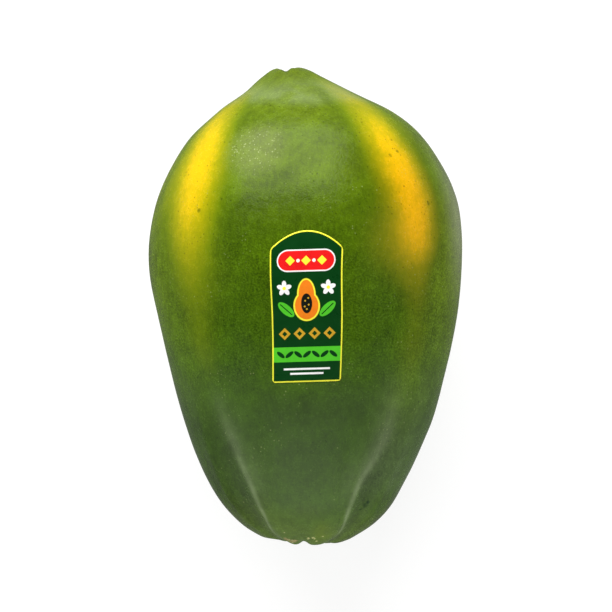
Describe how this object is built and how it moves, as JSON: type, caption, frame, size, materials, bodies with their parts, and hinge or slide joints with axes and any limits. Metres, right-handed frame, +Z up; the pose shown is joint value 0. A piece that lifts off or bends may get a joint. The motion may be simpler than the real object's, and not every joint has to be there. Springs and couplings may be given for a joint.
{
  "type": "papaya",
  "caption": "Whole unripe papaya lying on its side, green with yellow ripening streaks, furrowed at the stem end, with a small oblong fruit label stuck on its upper side.",
  "frame": {"origin": "middle of the fruit's box at the surface that it rests on", "axes": "+Y from the stem end towards the blossom end, +Z up through the middle of the label's side, +X to the right seen from above with the blossom end away"},
  "size_m": [0.1454, 0.2198, 0.1381],
  "materials": {
    "papaya_skin": "waxy, satin",
    "label_film": "printed film, semi-gloss"
  },
  "bodies": {
    "root": {"papaya": "papaya_skin", "label": "label_film"}
  },
  "joints": []
}
